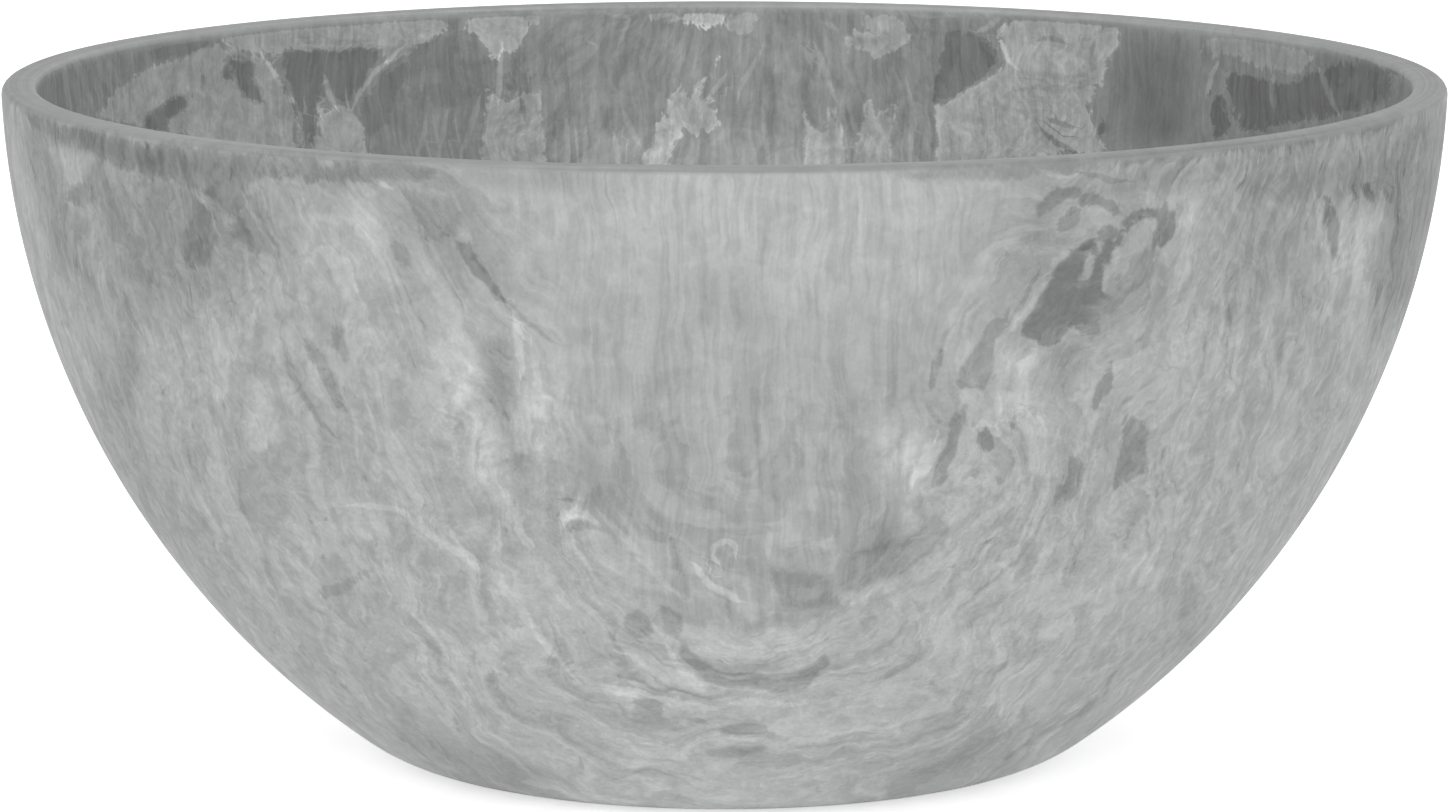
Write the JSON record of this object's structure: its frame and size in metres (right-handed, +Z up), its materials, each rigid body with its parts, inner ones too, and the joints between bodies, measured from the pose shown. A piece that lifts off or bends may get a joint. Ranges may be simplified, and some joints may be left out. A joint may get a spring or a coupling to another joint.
{
  "type": "bowl planter",
  "caption": "Round marbled stone-composite bowl planter with a curved wall and flat foot, a lift-out perforated watering disk on wick cups, and a pull-out rubber drain plug.",
  "frame": {"origin": "on the bowl's axis, at the surface that the foot stands on", "axes": "+Z up along the bowl's axis, +X towards the plug's pull tab, -Y towards the camera of the picture"},
  "size_m": [0.3098, 0.3098, 0.147],
  "materials": {
    "stone_composite": "matt grey stone powder in resin, marbled with darker and lighter flow lines",
    "disk_plastic": "moulded, fine-grained, charcoal",
    "plug_rubber": "soft black rubber"
  },
  "bodies": {
    "bowl": {"bowl": "stone_composite"},
    "disk": {"watering_disk": "disk_plastic"},
    "plug": {"drain_plug": "plug_rubber"}
  },
  "joints": [
    {"name": "disk_lift", "type": "slide", "parent": "bowl", "child": "disk", "axis": [0, 0, 1], "range_m": [0, 0.15]},
    {"name": "plug_pull", "type": "slide", "parent": "bowl", "child": "plug", "axis": [0, 0, -1], "range_m": [0, 0.015]}
  ]
}
